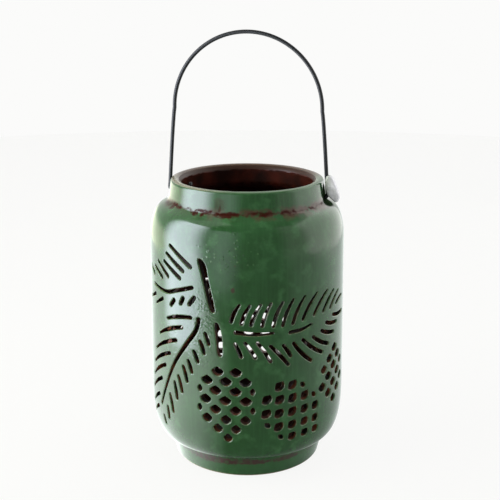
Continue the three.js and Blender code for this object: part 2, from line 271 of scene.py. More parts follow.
# The pot. Its side line runs from the foot's crease over the body and shoulder up to the lip.
pot = {  # millimetres
    "height": 195.1, "footRadius": 50.4, "footTopRadius": 54.4, "footHeight": 16, "bodyRadius": 66.5,
    "bodyTaper": 1, "lowerCurveHeight": 38, "lowerRoundness": 2.6, "wallTop": 155.6, "shoulderHeight": 24,
    "upperRoundness": 2.2, "neckBaseRadius": 53.2, "neckTopRadius": 51.3,
    "creaseSoftness": 1.6, "neckSoftness": 3.4,  # how far the corners are eased each way
    "neckEaseHeights": (8, 3), "neckEaseWidths": (10, 6),  # off the shoulder's top, and out from the neck
    "wall": 5, "neckWall": 7.2, "neckWallFrom": (-4, 1.5), "neckReach": 3, "innerSoftness": 6,
    "innerLipFrom": (-8, 0),  # this and neckWallFrom are heights from the lip's and the shoulder's top
    "lipDrop": 2.2, "lipEdge": 1.8, "lipRise": 0.35, "innerLipDrop": 3.6, "innerLipRoundness": 1.7,
    "lipCrest": (0.8, 1.4), "lipCrestDip": 0.1,  # where the lip is highest, in from its round edge
    "footSkirt": 1.6, "footBulge": 0.35, "footEdgeWidth": 1.55, "footEdgeHeight": 1.4,
    "footRingWidth": 6, "ringCorners": [(1, 0), (0, 0.5), (-1.2, 3.6), (-3, 5)], "footRecess": 5,
    "clayFrom": 1.1, "clayTo": 0.6, "clayMargin": 0.5,
    "floorTop": 11, "insideFoot": [(0.6, -1.2), (0, -4)], "floorBend": [(-0.4, 1.6), (-3.4, 0)],
    "pivotHeight": 183.2, "holeRadius": 2, "holeSides": 20,
    "rimRadius": 0.75, "rimDegrees": ((30, 60, 90), (90, 45, 0)),  # steps round a rim, outside and inside
    "columns": 64, "rowHeights": (1, 8), "rowBend": 0.35,  # rows are lower where the wall bends
    "weld": 0.004,  # the two halves' edges meet within this
}
drawnHalfTurn = 207.3  # the pattern's half turn, in mm along the wall
lineStep = 0.25  # mm from point to point of the side lines
shoulderTop = pot["wallTop"] + pot["shoulderHeight"]


def smoothStep(low, high, x):
    t = min(max((x - low) / (high - low), 0), 1)
    return t * t * (3 - 2 * t)


def corner(centre, width, height, power, t):  # from straight above or below the centre round to its side
    a = t * math.pi / 2
    x, y = math.sin(a) ** (2 / power), math.cos(a) ** (2 / power)
    return Vector((centre[0] + width * x, centre[1] + height * y))


def evenly(points, step):  # the same line, in even steps
    lengths = [0]
    for p, q in zip(points, points[1:]):
        lengths.append(lengths[-1] + (q - p).length)
    count = round(lengths[-1] / step)
    made = []
    for i in range(count + 1):
        s = lengths[-1] * i / count
        k = min(max(bisect_left(lengths, s), 1), len(points) - 1)
        part = (s - lengths[k - 1]) / (lengths[k] - lengths[k - 1])
        made.append(points[k - 1].lerp(points[k], part))
    return made


def eased(points, reaches):  # each point moved to the mean of its neighbours, which rounds the corners
    made = []
    for i, reach in enumerate(reaches):
        near = min(reach, i, len(points) - 1 - i)
        window = points[i - near:i + near + 1]
        made.append(sum(window, Vector((0, 0))) / len(window))
    return made


def outerReach(p):  # how many points each way the outer line is eased over: more in the crease at the neck
    atNeck = (smoothStep(*pot["neckEaseHeights"], abs(p.y - shoulderTop))
              * smoothStep(*pot["neckEaseWidths"], p.x - pot["neckBaseRadius"]))
    softness = pot["creaseSoftness"] + (pot["neckSoftness"] - pot["creaseSoftness"]) * atNeck
    return round(softness / lineStep)


def outerLine():  # from just outside the foot's crease up to the lip
    lower = (pot["footTopRadius"], pot["footHeight"] + pot["lowerCurveHeight"])
    upper = (pot["neckBaseRadius"], pot["wallTop"])
    widths = pot["bodyRadius"] - lower[0], pot["bodyRadius"] - pot["bodyTaper"] - upper[0]
    steps, first = 60, 0.06  # the curve starts a little way round, where the foot's crease will end
    points = [corner(lower, widths[0], -pot["lowerCurveHeight"], pot["lowerRoundness"],
                     first + (1 - first) * i / steps) for i in range(steps + 1)]
    points += [corner(upper, widths[1], pot["shoulderHeight"], pot["upperRoundness"], 1 - i / steps)
               for i in range(steps + 1)]
    points.append(Vector((pot["neckTopRadius"], pot["height"] - pot["lipDrop"])))
    points = evenly(points, lineStep)
    return eased(points, [outerReach(p) for p in points])


def normalsOf(points, side=1):  # square to the line, to its right going up
    made = []
    for i in range(len(points)):
        way = points[min(i + 2, len(points) - 1)] - points[max(i - 2, 0)]
        made.append(Vector((way.y, -way.x)).normalized() * side)
    return made


outer = outerLine()
outerNormals = normalsOf(outer)


def innerLine():  # one wall further in: square to the body, level through the neck, and lower at the lip
    neckEnd = pot["neckBaseRadius"] + pot["neckReach"]
    made = []
    for p, n in zip(outer, outerNormals):
        inNeck = smoothStep(*pot["neckWallFrom"], p.y - shoulderTop) if p.x < neckEnd else 0
        way = n.lerp(Vector((1, 0)), inNeck).normalized()
        thickness = pot["wall"] + (pot["neckWall"] - pot["wall"]) * inNeck
        atLip = smoothStep(*pot["innerLipFrom"], p.y - outer[-1].y)
        sunk = (pot["innerLipDrop"] - pot["lipDrop"]) * atLip
        made.append(p - way * thickness - Vector((0, sunk)))
    return eased(made, [pot["innerSoftness"]] * len(made))


inner = innerLine()
innerNormals = normalsOf(inner, -1)
outerHeights = [p.y for p in outer]


def lineAt(points, s):
    k = min(max(int(s / lineStep), 0), len(points) - 2)
    return points[k].lerp(points[k + 1], s / lineStep - k)


def alongLine(z):  # how far along the outer line a height is
    k = min(max(bisect_left(outerHeights, z), 1), len(outer) - 1)
    low, high = outerHeights[k - 1], outerHeights[k]
    return (k - 1 + (z - low) / max(high - low, 1e-6)) * lineStep


def stretchAt(s):  # mm of the drawn sheet to a real mm round the pot
    return drawnHalfTurn / math.pi / lineAt(outer, s).x


# The pierced pattern, laid out in mm: u along the wall from the front line, z above the table
pattern = {
    "twig": [(-33.6, 155.8), (-27, 152.6), (-25.2, 141), (-20.2, 121.2), (-22.2, 119.6), (-24.4, 121),
             (-29.6, 143)],
    "twigEnd": [(-21.6, 113), (-19.4, 114), (-17.6, 111), (-15.9, 103), (-15.8, 92), (-17.6, 90.6),
                (-19.4, 92.4), (-19.9, 101)],
    "stems": [
        ([(-37, 134.6), (-49.5, 130.5), (-62, 126.9), (-80, 127.8)], [2.4, 2.4, 1.9]),
        ([(-32.2, 114.4), (-34.6, 106), (-44, 93), (-55.5, 76), (-70.2, 45.2)], [2.7, 2.7, 2.1]),
        ([(-7.2, 108), (4.5, 106.9), (16.8, 107)], [2.8, 2.6, 1.5]),
        ([(28.4, 106.2), (36.6, 106.6), (45, 108.7)], [2.4, 2.3, 1.3]),
    ],
    "needles": [  # bow, widths from root to tip, then the root and tip of each
        (-0.01, (2.8, 2.7, 2.3), [(-38.3, 148, -56.4, 158.9), (-44.6, 144.3, -60.4, 152.9),
                                 (-47.4, 139.1, -63.6, 147.1), (-59.2, 137.9, -72.5, 145.2),
                                 (-66.7, 135.4, -78.4, 140.4), (-79.8, 134.7, -87.1, 138.4)]),
        (0, (2.7, 2.9, 2.5), [(-35.4, 128.2, -39.4, 123), (-44.5, 126.3, -46.8, 122),
                              (-52.8, 123.3, -56.4, 119)]),
        (0, (2.5, 2.1, 1.5), [(-66.2, 121, -77.2, 115), (-78, 121.3, -89, 116.4)]),
        (-0.04, (2.4, 2.6, 1.6), [(-38.3, 114.3, -60.6, 108.9), (-45.9, 106.2, -71.6, 95.4),
                                (-51.4, 96.1, -78.9, 82.4), (-58.2, 85.3, -82.5, 71.7),
                                (-63.8, 75.3, -84.5, 61.9), (-69.1, 64.1, -86.1, 52.3),
                                (-73.6, 51.2, -86.8, 41.8), (-76, 41.3, -87, 34.2)]),
        (0.03, (2.1, 2.8, 2.3), [(-27.6, 105.6, -25.1, 98.5), (-31.3, 99.8, -28.5, 91.8),
                                 (-36.1, 92, -33.2, 85.3), (-40.7, 84.6, -37.9, 77.1),
                                 (-45, 79.7, -41.9, 69.9), (-49.6, 71.7, -46.3, 61.4),
                                 (-53.5, 66.3, -51.1, 55.2), (-58.6, 56.1, -55.5, 44.2),
                                 (-61.9, 45.9, -61, 37.5), (-68, 36.9, -66.6, 31.3)]),
        (0.055, (2.4, 2.5, 1.5), [(-10.2, 115, -4.9, 126.2), (-3.6, 113.9, 1.8, 126),
                                  (2.5, 113, 8.7, 126.2), (9.7, 112.2, 15.3, 126.7),
                                  (16.9, 111.6, 23.2, 127), (23.3, 111.5, 30.8, 128),
                                  (30.4, 111.9, 39.4, 128.6), (38, 113.4, 49.8, 128.9),
                                  (47.4, 114.7, 60.4, 128.3), (56.3, 114.9, 68.6, 126.4),
                                  (64.5, 115.1, 76.4, 124.2), (73, 115.9, 84.8, 118.4)]),
        (0.02, (2.1, 2.6, 2.4), [(-7.6, 100.3, -3.8, 91.8), (-1.2, 101, 5.2, 91.2), (6.7, 100.9, 15.2, 88),
                                 (15, 98.4, 27.2, 84.6), (23.7, 98.1, 28.9, 90.2)]),
        (-0.05, (2.3, 2.8, 2.5), [(31, 98.4, 45, 83.8), (38, 99.6, 55.4, 86.8), (46.6, 99.6, 62, 90.9),
                                  (54.6, 101.8, 69, 97.2), (59.6, 106.2, 73.4, 103),
                                  (68.4, 109.3, 85.8, 106.9)]),
    ],
    "cones": [  # the middle scale, lean, reach up, down and sideways, the rows and their step
        ((-14.2, 61.4), 0, 26, 29, 20, range(-4, 4), 6.6),
        ((30.2, 51.6), 45, 26, 29, 20, range(-4, 4), 6.6),
        ((69.6, 61.8), 0, 26, 13, 17.5, range(-2, 5), 6),
    ],
    "scale": [(0, 1), (-1, 0.12), (-0.8, -0.55), (-0.3, -0.98), (0.3, -0.98), (0.8, -0.55), (1, 0.12)],
    "scaleWidth": 8, "scaleHeight": 6.6, "scaleSpacing": 13.4, "scaleDrift": 0.1, "narrowestScale": 2.6,
    "closerByRow": 0.012, "narrowerByRow": 0.06,  # away from the middle row, and below it
    "scaleTallness": (0.6, 0.2),  # the least, and what a scale of full width has more
    "scaleRounding": (0.12, 0.25), "stemSteps": 5,
}


def along(places, t):  # a point on a smooth curve through some places
    last = len(places) - 1
    i = min(int(t * last), last - 1)
    f = t * last - i
    before, p, q, after = [Vector(places[max(0, min(last, i + k))]) for k in (-1, 0, 1, 2)]
    a, b = (q - before) / 2, (after - p) / 2
    return (2 * p - 2 * q + a + b) * f**3 + (3 * q - 3 * p - 2 * a - b) * f**2 + a * f + p


def between(values, t):  # the value that is the share t of the way through a list
    last = len(values) - 1
    i = min(int(t * last), last - 1)
    return values[i] + (values[i + 1] - values[i]) * (t * last - i)


def roundedCut(spine, widths):  # a cut along a spine, with round ends
    last = len(spine) - 1
    ways = [(spine[min(i + 1, last)] - spine[max(i - 1, 0)]).normalized() for i in range(last + 1)]
    halves = [Vector((-w.y, w.x)) * between(widths, i / last) / 2 for i, w in enumerate(ways)]

    def roundEnd(i, way, side):
        turns = [math.pi * k / 4 for k in (1, 2, 3)]
        return [spine[i] + side * math.cos(a) + way * side.length * math.sin(a) for a in turns]

    left = [p + h for p, h in zip(spine, halves)]
    right = [p - h for p, h in zip(spine, halves)]
    return (left + roundEnd(last, ways[last], halves[last])
            + right[::-1] + roundEnd(0, -ways[0], -halves[0]))


def needle(root, tip, bow, widths):
    step = tip - root
    side = Vector((-step.y, step.x)) * bow * 4
    return roundedCut([root + step * t + side * t * (1 - t) for t in (0, 0.25, 0.5, 0.75, 1)], widths)


def softened(outline, shares=(0.25, 0.25)):  # corners cut off again and again, so that they come out round
    for share in shares:
        ahead = outline[1:] + outline[:1]
        outline = [q for p, n in zip(outline, ahead) for q in (p.lerp(n, share), p.lerp(n, 1 - share))]
    return outline


def areaOf(outline):
    return sum(p.cross(q) for p, q in zip(outline, outline[1:] + outline[:1])) / 2


# A cone: staggered scales inside an egg, pointed towards the stalk, and narrower where they meet its side
def coneCuts(middle, lean, up, down, side, rows, rowStep):
    turn = Matrix.Rotation(math.radians(lean), 2)
    least, more = pattern["scaleTallness"]
    cuts = []
    for row in rows:
        z = rowStep * row
        reach = up if z > 0 else down
        edge = side * math.sqrt(max(1 - (z / reach) ** 2, 0))
        spacing = pattern["scaleSpacing"] * (1 - pattern["closerByRow"] * row * row)
        half = pattern["scaleWidth"] / 2 * (1 - pattern["narrowerByRow"] * max(-row, 0))
        shift = Vector((pattern["scaleDrift"] * row * row, 0))
        for column in range(-2, 3):
            x = spacing * (column + (row % 2) / 2)
            left, right = max(x - half, -edge), min(x + half, edge)
            if right - left < pattern["narrowestScale"]:
                continue
            tall = pattern["scaleHeight"] / 2 * (least + more * (right - left) / half)
            scale = [Vector((left + (right - left) * (0.5 + px / 2), z + pz * tall))
                     for px, pz in pattern["scale"]]
            scale = softened(scale, pattern["scaleRounding"])
            cuts.append([turn @ (p + shift) + Vector(middle) for p in scale])
    return cuts


def patternCuts():
    cuts = [softened([Vector(p) for p in pattern[name]]) for name in ("twig", "twigEnd")]
    for places, widths in pattern["stems"]:
        steps = pattern["stemSteps"] * (len(places) - 1)
        cuts.append(roundedCut([along(places, i / steps) for i in range(steps + 1)], widths))
    for bow, widths, ends in pattern["needles"]:
        cuts += [needle(Vector((a, b)), Vector((c, d)), bow, widths) for a, b, c, d in ends]
    for cone in pattern["cones"]:
        cuts += coneCuts(*cone)
    return cuts


def neckHole():  # the hook's hole, drawn wider than tall, because the neck is narrower than the sheet
    stretch = stretchAt(alongLine(pot["pivotHeight"]))
    across = (90 - shot["turn"]) / 180 * drawnHalfTurn
    turns = [2 * math.pi * i / pot["holeSides"] for i in range(pot["holeSides"])]
    circle = [Vector((pot["holeRadius"] * math.cos(a), pot["holeRadius"] * math.sin(a))) for a in turns]
    return [Vector((across + p.x * stretch, pot["pivotHeight"] + p.y)) for p in circle]


def everythingIn(bm):
    return bm.verts[:] + bm.edges[:] + bm.faces[:]


def onlyVerts(made):
    return [g for g in made if isinstance(g, bmesh.types.BMVert)]


def newVertsAndEdges(made):
    verts = onlyVerts(made)
    fresh = set(verts)
    return verts, [g for g in made if isinstance(g, bmesh.types.BMEdge) and set(g.verts) <= fresh]


# The wall starts as a flat sheet, x along the wall and y along the side line, with the cuts as holes. The
# rims of the holes are drawn through the wall in small steps, the sheet's edges run on over the lip and
# round the foot, and the whole is then rolled up.
def wallSheet(bm, cuts):
    top = (len(outer) - 1) * lineStep
    half = drawnHalfTurn / 2
    loops = [[bm.verts.new(p) for p in ((-half, 0, 0), (half, 0, 0), (half, top, 0), (-half, top, 0))]]
    grow = pot["rimRadius"]  # each hole is wider than its cut by its rounded rim
    for cut in cuts:
        flat = [Vector((p.x, alongLine(p.y))) for p in cut]
        if areaOf(flat) < 0:
            flat.reverse()
        stretch = stretchAt(flat[0].y)
        loop = []
        for i, p in enumerate(flat):
            way = (flat[(i + 1) % len(flat)] - flat[i - 1]).normalized()
            loop.append(bm.verts.new((p.x + way.y * grow * stretch, p.y - way.x * grow, 0)))
        loops.append(loop)
    edges = []
    for loop in loops:
        edges += [bm.edges.new((loop[i - 1], loop[i])) for i in range(len(loop))]
    bmesh.ops.triangle_fill(bm, edges=edges, use_beauty=True, normal=(0, 0, 1))
    return top, half


def cutRowsAndColumns(bm, top, half):
    snap = 0.03  # a vertex this close to a cut is used as it is
    for i in range(1, pot["columns"]):
        bmesh.ops.bisect_plane(bm, geom=everythingIn(bm), dist=snap,
                               plane_co=(half * (2 * i / pot["columns"] - 1), 0, 0), plane_no=(1, 0, 0))
    ahead, leastBend = 8, 0.01  # the bend is measured over so many points each way
    lastGap = 0.6  # no row is closer to the sheet's upper edge
    lowest, highest = pot["rowHeights"]
    s = 0
    while True:
        k = min(int(s / lineStep) + ahead, len(outer) - 1)
        bend = outerNormals[max(k - ahead, 0)].angle(outerNormals[min(k + ahead, len(outer) - 1)])
        s += min(max(pot["rowBend"] / max(bend, leastBend), lowest), highest)
        if s > top - lastGap:
            break
        bmesh.ops.bisect_plane(bm, geom=everythingIn(bm), dist=snap, plane_co=(0, s, 0), plane_no=(0, 1, 0))


def sortEdges(bm, top, half):  # the sheet's open edges: the cuts' rims, its lower edge and its upper edge
    rims, lower, upper = [], [], []
    near = 0.01
    for e in bm.edges:
        if len(e.link_faces) != 1:
            continue
        (ax, ay, _), (bx, by, _) = e.verts[0].co, e.verts[1].co
        if max(ay, by) < near:
            lower.append(e)
        elif min(ay, by) > top - near:
            upper.append(e)
        elif min(abs(ax), abs(bx)) < half - near:
            rims.append(e)
    return rims, lower, upper


def waysOut(rims):  # which way each rim's vertices lie from their hole, eased along the rim
    ways, neighbours = {}, {}
    for e in rims:
        a, b = e.verts
        run = b.co - a.co
        side = Vector((run.y, -run.x, 0)).normalized()
        if side.dot(e.link_faces[0].calc_center_median() - a.co) < 0:
            side.negate()
        for v, other in ((a, b), (b, a)):
            ways[v] = ways.get(v, Vector()) + side
            neighbours.setdefault(v, []).append(other)
    ways = {v: w.normalized() for v, w in ways.items()}
    return {v: (w * 2 + sum((ways[n] for n in neighbours[v]), Vector())).normalized()
            for v, w in ways.items()}


def rimSteps():  # how far back, how deep as a share of the wall, and the sine and cosine of where it faces
    grow, thick = pot["rimRadius"], pot["wall"]
    outside, inside = pot["rimDegrees"]
    steps = []
    for degrees in outside:
        sine, cosine = math.sin(math.radians(degrees)), math.cos(math.radians(degrees))
        steps.append((grow * sine, grow * (1 - cosine) / thick, sine, cosine))
    for degrees in inside:
        sine, cosine = math.sin(math.radians(degrees)), math.cos(math.radians(degrees))
        steps.append((grow * sine, 1 - grow * (1 - cosine) / thick, sine, -cosine))
    return steps


def drawRims(bm, layers, rims, ways, innerCopy):  # through the wall, and welded to its inner side
    origins = {v: (v.co.copy(), w, v) for v, w in ways.items()}
    edges = rims
    for back, depth, sideways, up in rimSteps():
        byPlace = {v.co.copy().freeze(): origins[v] for e in edges for v in e.verts}
        made = bmesh.ops.extrude_edge_only(bm, edges=edges)["geom"]
        verts, edges = newVertsAndEdges(made)
        for v in verts:
            start, way, first = byPlace[v.co.copy().freeze()]
            v.co = start - Vector((way.x * back * stretchAt(start.y), way.y * back, 0))
            v.co.z = depth
            v[layers["facing"]] = (-way.x * sideways, -way.y * sideways, up)
            v[layers["inwards"]] = depth
            origins[v] = (start, way, first)
    targets = {v: innerCopy[origins[v][2]] for e in edges for v in e.verts}
    bmesh.ops.weld_verts(bm, targetmap=targets)


def standUp(bm, facing):  # from the sheet to the unrolled pot: x along the wall, y out from the axis, z up
    for v in bm.verts:
        s, depth = v.co.y, v.co.z
        place = lineAt(outer, s).lerp(lineAt(inner, s), depth)
        k = min(max(round(s / lineStep), 0), len(outer) - 1)
        upWay = Vector((-outerNormals[k].y, outerNormals[k].x))
        across, alongWay, outWay = v[facing]
        normal = outerNormals[k] if outWay > 0 else -innerNormals[k]
        turned = upWay * alongWay + normal * outWay
        v.co = (v.co.x, place.x, place.y)
        v[facing] = (across, turned.x, turned.y)


def runOn(bm, layers, edges, rows):  # an edge drawn on through each row's place
    for place, normal, depth, bare in rows:
        made = bmesh.ops.extrude_edge_only(bm, edges=edges)["geom"]
        verts, edges = newVertsAndEdges(made)
        for v in verts:
            v.co = (v.co.x, place.x, place.y)
            v[layers["facing"]] = (0, normal.x, normal.y)
            v[layers["inwards"]] = depth
            v[layers["bareness"]] = bare


def lipRows():  # a small round outer edge, a top that rises a little inwards, and a softer inner edge
    height, outside, within, steps = pot["height"], outer[-1], inner[-1], 8
    crest, crestEnd = [outside.x - pot["lipEdge"] - reach for reach in pot["lipCrest"]]
    line = [corner((outside.x - pot["lipEdge"], outside.y), pot["lipEdge"], pot["lipDrop"] - pot["lipRise"],
                   2, 1 - i / steps) for i in range(1, steps)]
    line.append(Vector((crest, height)))
    inwardRun = crestEnd - within.x
    line += [corner((within.x + inwardRun, within.y), -inwardRun, height - pot["lipCrestDip"] - within.y,
                    pot["innerLipRoundness"], i / steps) for i in range(steps + 1)]
    normals = normalsOf([outer[-2]] + line)[1:]
    return [(p, n, smoothStep(steps + 1, 2 * steps, i), 0) for i, (p, n) in enumerate(zip(line, normals))]


def clayShare(p):  # bare clay on the foot's ring and inside it
    ringInside = pot["footRadius"] - pot["footRingWidth"] - pot["clayMargin"]
    return smoothStep(pot["clayFrom"], pot["clayTo"], p.y) if p.x > ringInside else 1


def underRows():  # under the body into the crease, down the foot and round its ring to the middle
    footTop, footHeight, footRadius = pot["footTopRadius"], pot["footHeight"], pot["footRadius"]
    edgeHeight, edgeWidth = pot["footEdgeHeight"], pot["footEdgeWidth"]
    ringInside = footRadius - pot["footRingWidth"]
    edge = footRadius + pot["footBulge"]
    side = [outer[0]] + [Vector(p) for p in ((footTop + pot["footSkirt"], footHeight), (footTop, footHeight),
                                             (edge, edgeHeight))]
    step, reach, close, every = 0.5, 3, 12, 6  # each point is kept in the crease, and fewer below it
    side = evenly(side, step)
    side = eased(side, [reach] * len(side))
    line = side[:close] + side[close:-1:every] + [side[-1]]
    line += [corner((edge - edgeWidth, edgeHeight), edgeWidth, -edgeHeight, 2, 1 - i / 4)
             for i in range(1, 5)]
    line += [Vector((ringInside + x, z)) for x, z in pot["ringCorners"]] + [Vector((0, pot["footRecess"]))]
    normals = normalsOf(line, -1)
    normals[-1] = Vector((0, -1))
    return [(p, n, 0, clayShare(p)) for p, n in zip(line[1:], normals[1:])]


def floorRows():  # inside, from the wall down to the middle of the floor
    floor, foot, start = pot["floorTop"], pot["footTopRadius"] - pot["wall"], inner[0]
    line = [start] + [Vector((foot + x, start.y + z)) for x, z in pot["insideFoot"]]
    line += [Vector((foot + x, floor + z)) for x, z in pot["floorBend"]]
    step, reach, bendEnd, flatFrom = 1, 2, 14, 5  # past its bend the floor is flat, and needs no more rows
    line = evenly(line + [Vector((0, floor))], step)
    line = eased(line, [reach] * len(line))
    line = [start] + line[1:bendEnd] + [Vector((foot - flatFrom, floor)), Vector((0, floor))]
    normals = normalsOf(line)
    normals[-1] = normals[-2] = Vector((0, 1))
    return [(p, n, 1, 0) for p, n in zip(line[1:], normals[1:])]


def rollUp(bm, facing):  # round the axis, with the other half set against it
    for v in bm.verts:
        a = v.co.x / drawnHalfTurn * math.pi + math.radians(shot["turn"] - 90)
        out, side = Vector((math.cos(a), math.sin(a), 0)), Vector((-math.sin(a), math.cos(a), 0))
        across, outWay, up = v[facing]
        v[facing] = (side * across + out * outWay + Vector((0, 0, up))).normalized()
        v.co = out * v.co.y + Vector((0, 0, v.co.z))
    turn = Matrix.Rotation(math.pi, 3, "Z")
    otherHalf = onlyVerts(bmesh.ops.duplicate(bm, geom=everythingIn(bm))["geom"])
    bmesh.ops.rotate(bm, matrix=turn, verts=otherHalf)
    for v in otherHalf:
        v[facing] = turn @ v[facing]
    bmesh.ops.remove_doubles(bm, verts=bm.verts, dist=pot["weld"])
    bmesh.ops.recalc_face_normals(bm, faces=bm.faces)
    bmesh.ops.triangulate(bm, faces=[f for f in bm.faces if len(f.verts) > 4])
    bmesh.ops.scale(bm, vec=(mm, mm, mm), verts=bm.verts)


def makePot(material):
    bm = bmesh.new()
    layers = {"facing": bm.verts.layers.float_vector.new("facing"),
              "inwards": bm.verts.layers.float.new("inwards"),  # 0 on the wall's outside, 1 on its inside
              "bareness": bm.verts.layers.float.new("bareness")}
    facing = layers["facing"]
    top, half = wallSheet(bm, patternCuts() + [neckHole()])
    cutRowsAndColumns(bm, top, half)
    print("wall sheet:", len(bm.faces), "faces")

    rims, lowerEdge, upperEdge = sortEdges(bm, top, half)
    for v in bm.verts:
        v[facing] = (0, 0, 1)
    ways = waysOut(rims)
    inside = bmesh.ops.duplicate(bm, geom=bm.faces[:])
    innerCopy = {v: inside["vert_map"][v] for v in ways}
    innerLower = [inside["edge_map"][e] for e in lowerEdge]
    for v in onlyVerts(inside["geom"]):
        v.co.z = 1
        v[facing] = (0, 0, -1)
        v[layers["inwards"]] = 1
    bmesh.ops.reverse_faces(bm, faces=[g for g in inside["geom"] if isinstance(g, bmesh.types.BMFace)])
    drawRims(bm, layers, rims, ways, innerCopy)
    print("wall with its cuts:", len(bm.faces), "faces")

    standUp(bm, facing)
    runOn(bm, layers, upperEdge, lipRows())
    runOn(bm, layers, lowerEdge, underRows())
    runOn(bm, layers, innerLower, floorRows())
    rollUp(bm, facing)
    openEdges = sum(1 for e in bm.edges if not e.is_manifold)
    normals = [v[facing].copy() for v in bm.verts]
    print("pot:", len(bm.faces), "faces, open edges:", openEdges)
    piece = newPiece("stoneware_pot", bm, material)
    piece.data.normals_split_custom_set_from_vertices(normals)
    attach(piece, "pot")
    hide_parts("pierced_pot")


# The handle: one wire, hooked through the neck at both ends and bent round over the top
wire = {  # millimetres
    "radius": 1.3, "sides": 24, "legAtPivot": 54.59, "legFlare": 0.8, "legSteps": 20,
    "archRadius": 50, "archHeight": 240, "archSteps": 48,
    "hookCentre": 42.98, "tail": 3, "bendRadius": 3, "bendSteps": 8,
}


def bend(centre, radius, start, end, steps):
    turns = [math.radians(start + (end - start) * i / steps) for i in range(steps + 1)]
    return [Vector((centre[0] + radius * math.cos(a), centre[1] + radius * math.sin(a))) for a in turns]


def halfWire():  # x and z of the centre line, from the tail of the hook to the crown
    pivot, radius, arch = pot["pivotHeight"], wire["bendRadius"], wire["archHeight"]
    line = bend((wire["hookCentre"], pivot + radius), radius, 180, 270, wire["bendSteps"])
    line.insert(0, line[0] + Vector((0, wire["tail"])))
    line += bend((wire["legAtPivot"] - radius, pivot + radius), radius, -90, 0, wire["bendSteps"])
    for i in range(1, wire["legSteps"]):
        z = pivot + radius + (arch - pivot - radius) * i / wire["legSteps"]
        share = (arch - z) / (arch - pivot)
        reach = wire["archRadius"] + (wire["legAtPivot"] - wire["archRadius"]) * share ** wire["legFlare"]
        line.append(Vector((reach, z)))
    return line + bend((0, arch), wire["archRadius"], 0, 90, wire["archSteps"])


def makeWire(material):  # a ring drawn along the centre line
    right = halfWire()
    line = right + [Vector((-p.x, p.y)) for p in right[-2::-1]]
    bm = bmesh.new()
    ring = bmesh.ops.create_circle(bm, segments=wire["sides"], radius=wire["radius"])["verts"]
    edges = bm.edges[:]
    last = len(line) - 1
    place = Matrix()
    for i, p in enumerate(line):
        way = line[min(i + 1, last)] - line[max(i - 1, 0)]
        after = Matrix.Translation((p.x, 0, p.y)) @ Matrix.Rotation(math.atan2(way.x, way.y), 4, "Y")
        if i:
            ring, edges = newVertsAndEdges(bmesh.ops.extrude_edge_only(bm, edges=edges)["geom"])
        bmesh.ops.transform(bm, matrix=after @ place.inverted(), verts=ring)
        place = after
    bmesh.ops.holes_fill(bm, edges=[e for e in bm.edges if e.is_boundary], sides=0)
    bmesh.ops.recalc_face_normals(bm, faces=bm.faces)
    bmesh.ops.scale(bm, vec=(mm, mm, mm), verts=bm.verts)
    piece = newPiece("bent_wire", bm, material)
    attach(piece, "handle")
    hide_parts("wire_handle")


# The guard: a soft wedge round the right leg of the wire, leaning out over the shoulder
guard = {  # millimetres; the outline in shares of its width and height
    "start": (53.1, 180.4), "width": 10.06, "height": 18.2, "depthAtTop": 5.2, "depthAtFoot": 6.6,
    "outline": [(0, 0.45), (0.18, 0.26), (0.5, 0.1), (0.8, 0), (1, 0.19), (0.8, 0.495), (0.5, 0.912),
                (0.3, 1), (0, 0.97)],
    "edge": 1.4, "edgeSegments": 5,
}


def makeGuard(material):
    bm = bmesh.new()
    start, width, height, depth = guard["start"], guard["width"], guard["height"], guard["depthAtFoot"]
    outline = softened([Vector((start[0] + x * width, start[1] + z * height)) for x, z in guard["outline"]])
    face = bm.faces.new([bm.verts.new((p.x, -depth / 2, p.y)) for p in outline])
    made = bmesh.ops.extrude_face_region(bm, geom=[face])["geom"]
    bmesh.ops.translate(bm, vec=(0, depth, 0), verts=onlyVerts(made))
    bmesh.ops.recalc_face_normals(bm, faces=bm.faces)
    rim = [e for e in bm.edges if abs(e.verts[0].co.y - e.verts[1].co.y) < 0.01]
    bmesh.ops.bevel(bm, geom=rim, offset=guard["edge"], segments=guard["edgeSegments"], profile=0.5,
                    affect="EDGES", material=-1, clamp_overlap=True)
    for v in bm.verts:  # thinner towards the top
        up = min(max((v.co.z - start[1]) / height, 0), 1)
        v.co.y *= 1 + (guard["depthAtTop"] / depth - 1) * up
    bmesh.ops.triangulate(bm, faces=[f for f in bm.faces if len(f.verts) > 4])
    bmesh.ops.scale(bm, vec=(mm, mm, mm), verts=bm.verts)
    piece = newPiece("guard_wedge", bm, material)
    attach(piece, "handle")
    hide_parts("handle_guard")
    piece.visible_glossy = False  # so close to the neck, its mirror image reads as a dark bar
